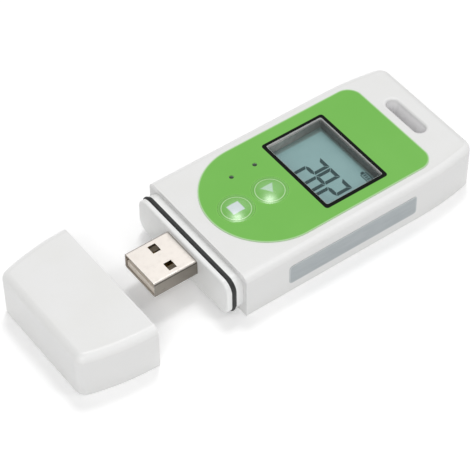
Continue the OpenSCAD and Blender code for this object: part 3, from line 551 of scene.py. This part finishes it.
dark_pipe = ink("dark_pipe", (0.042, 0.062, 0.044))
green_led = resin("green_led", (0.4, 0.75, 0.42), 0.2)
red_led = resin("red_led", (0.75, 0.3, 0.25), 0.2)

looks = {
    "front_case": white_case, "cap": white_cap, "rear_cover": white_back, "battery_door": white_back,
    "usb_collar": cool_white, "start_key": key_white, "stop_key": key_white, "display_bezel": bezel_plastic(),
    "collar_seal": seal_rubber, "cover_gasket": seal_rubber, "slot_gasket": seal_rubber,
    "door_seal": seal_rubber, "contact_strips": zebra_rubber, "usb_shell": plug_metal,
    "cover_screws": screw_metal, "battery": cell_metal,
    "positive_contact": spring_bronze, "negative_contact": spring_bronze, "usb_contacts": gold,
    "usb_tongue": tongue_plastic(), "processor": black_resin, "memory_chip": black_resin,
    "temperature_sensor": black_resin, "crystal": cell_metal, "start_switch": switch_black,
    "stop_switch": switch_black, "start_plunger": switch_black, "stop_plunger": switch_black,
    "ok_light_pipe": dark_pipe, "alarm_light_pipe": dark_pipe, "ok_led": green_led, "alarm_led": red_led,
    "circuit_board": solder_resist(), "overlay": printed_film(), "display_window": clear_film("clear_window"),
    "display_panel": display_glass(), "side_label": foil_label(),
    "start_button": domed_button("start_dome", START_X, triangle_edge, (0.42, 0.62, 0.46)),
    "stop_button": domed_button("stop_dome", STOP_X, square_edge, (0.6, 0.66, 0.71)),
}
for name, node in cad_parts.items():
    node.data.materials.clear()
    node.data.materials.append(looks[name].material)


# figures on the display

FIGURES_FOOT, FIGURES_Z, FIGURES_THICK = BEZEL_FOOT + 3.44, GLASS_TOP + 0.005, 0.02
DIGIT_WIDTH, DIGIT_HALF_HEIGHT, STROKE, NICK = 3.78, 4.5, 0.95, 0.08
DIGIT_HEIGHT = 2 * DIGIT_HALF_HEIGHT
RISE = DIGIT_HALF_HEIGHT + STROKE / 2
SINK = DIGIT_HALF_HEIGHT - STROKE / 2
# outlines of a digit's segments, across to the near side and up to the slot end
SEGMENTS = {
    "top": ((NICK, DIGIT_HEIGHT), (DIGIT_WIDTH - NICK, DIGIT_HEIGHT),
            (DIGIT_WIDTH - STROKE - NICK, DIGIT_HEIGHT - STROKE), (STROKE + NICK, DIGIT_HEIGHT - STROKE)),
    "side": ((0, DIGIT_HALF_HEIGHT + NICK), (0, DIGIT_HEIGHT - NICK), (STROKE, DIGIT_HEIGHT - STROKE - NICK),
             (STROKE, RISE + NICK)),
    "middle": ((2 * NICK, DIGIT_HALF_HEIGHT), (STROKE + 2 * NICK, RISE),
               (DIGIT_WIDTH - STROKE - 2 * NICK, RISE), (DIGIT_WIDTH - 2 * NICK, DIGIT_HALF_HEIGHT),
               (DIGIT_WIDTH - STROKE - 2 * NICK, SINK), (STROKE + 2 * NICK, SINK)),
}
# each segment lit, and whether it is mirrored across and upwards
TWO = (("top", 0, 0), ("side", 1, 0), ("middle", 0, 0), ("side", 0, 1), ("top", 0, 1))
EIGHT = TWO + (("side", 0, 0), ("side", 1, 1))
# each digit and its far side, and the decimal point's centre
DIGITS = ((TWO, WINDOW_Y + 3.36), (EIGHT, WINDOW_Y - 0.72), (TWO, WINDOW_Y - 5.2))
POINT_Y = WINDOW_Y - 4.81
# the battery sign's outline, its terminal and its bars
SIGN_LOW, SIGN_HIGH = BEZEL_SLOT_END - 5.35, BEZEL_SLOT_END - 3.55
SIGN_NEAR, SIGN_FAR = BEZEL_NEAR_SIDE + 4.8, BEZEL_NEAR_SIDE + 7.6
SIGN_LINE, SIGN_MARGIN, TERMINAL_LENGTH = 0.24, 0.45, 0.6
BARS, BAR_START, BAR_END, BAR_PITCH = 3, 0.46, 0.9, 0.7


def plate(mesh, outline):
    """A thin flat piece on the glass, from its outline."""
    face = mesh.faces.new([mesh.verts.new(((SEAM + x) * MM, y * MM, FIGURES_Z * MM)) for x, y in outline])
    risen = bmesh.ops.extrude_face_region(mesh, geom=[face])
    top = [v for v in risen["geom"] if isinstance(v, bmesh.types.BMVert)]
    bmesh.ops.translate(mesh, verts=top, vec=(0, 0, FIGURES_THICK * MM))


def box_plate(mesh, low, high, near, far):
    """A plate with four square corners, from x low to high and from y near to far."""
    plate(mesh, [(low, near), (high, near), (high, far), (low, far)])


def display_figures():
    """Three large figures with a point, and a battery sign, read from the near side of the case."""
    mesh = bmesh.new()
    for lit, far_y in DIGITS:
        for part, across, upwards in lit:
            outline = [(DIGIT_WIDTH - u if across else u, DIGIT_HEIGHT - v if upwards else v)
                       for u, v in SEGMENTS[part]]
            plate(mesh, [(FIGURES_FOOT + v, far_y - u) for u, v in outline])
    half = STROKE / 2
    box_plate(mesh, FIGURES_FOOT, FIGURES_FOOT + STROKE, POINT_Y - half, POINT_Y + half)
    inner_near, inner_far = SIGN_NEAR + SIGN_LINE, SIGN_FAR - SIGN_LINE
    box_plate(mesh, SIGN_LOW, SIGN_HIGH, SIGN_NEAR, inner_near)
    box_plate(mesh, SIGN_LOW, SIGN_HIGH, inner_far, SIGN_FAR)
    box_plate(mesh, SIGN_LOW, SIGN_LOW + SIGN_LINE, inner_near, inner_far)
    box_plate(mesh, SIGN_HIGH - SIGN_LINE, SIGN_HIGH, inner_near, inner_far)
    low, high = SIGN_LOW + SIGN_MARGIN, SIGN_HIGH - SIGN_MARGIN
    box_plate(mesh, low, high, SIGN_FAR, SIGN_FAR + TERMINAL_LENGTH)
    for i in range(BARS):
        shift = SIGN_NEAR + BAR_PITCH * i
        box_plate(mesh, low, high, shift + BAR_START, shift + BAR_END)
    bmesh.ops.recalc_face_normals(mesh, faces=mesh.faces)
    data = bpy.data.meshes.new("display_figures")
    mesh.to_mesh(data)
    mesh.free()
    piece = bpy.data.objects.new("display_figures", data)
    bpy.context.scene.collection.objects.link(piece)
    data.materials.append(ink("crystal_grey", (0.04, 0.072, 0.075)).material)
    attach(piece, "case")


display_figures()


# studio: a pale paper floor, an even sky and four round soft lamps

SKY_STRENGTH = 0.5
FLOOR_HALF = 1.5  # metres
FLOOR_GLOW = 0.12
# each lamp's place and size in metres, and its power in watts
LAMPS = {
    "key": ((0.31, 0.42, 1.4), 0.34, 5.0),
    "rear_card": ((0.75, 0.95, 1.2), 1.0, 3.0),
    "fill": ((-0.78, -0.76, 0.9), 0.8, 5.2),
    "rim": ((0.52, -0.54, 1.04), 0.32, 1.5),
}


def studio():
    """Sky, floor and lamps. The lamps look at the middle of the case."""
    scene = bpy.context.scene
    scene.view_settings.view_transform = "Standard"
    scene.view_settings.look = "None"
    world = bpy.data.worlds.new("studio")
    world.use_nodes = True
    sky = world.node_tree.nodes["Background"]
    sky.inputs["Color"].default_value = (1, 1, 1, 1)
    sky.inputs["Strength"].default_value = SKY_STRENGTH
    scene.world = world
    mesh = bmesh.new()
    bmesh.ops.create_grid(mesh, x_segments=2, y_segments=2, size=FLOOR_HALF)
    data = bpy.data.meshes.new("floor")
    mesh.to_mesh(data)
    mesh.free()
    floor = bpy.data.objects.new("floor", data)
    scene.collection.objects.link(floor)
    paper = Finish("floor_paper")
    paper.set(Base_Color=paper.mix(paper.noise(0.002, detail=2.0), (0.97, 0.97, 0.97), (0.985, 0.985, 0.985)),
              Roughness=0.9, Emission_Color=(1.0, 1.0, 1.0), Emission_Strength=FLOOR_GLOW)
    data.materials.append(paper.material)
    for name, (place, size, power) in LAMPS.items():
        data = bpy.data.lights.new(name, "AREA")
        data.shape = "DISK"
        data.size = size
        data.energy = power
        lamp = bpy.data.objects.new(name, data)
        lamp.location = place
        lamp.rotation_euler = Vector(place).to_track_quat("Z", "Y").to_euler()
        scene.collection.objects.link(lamp)


studio()
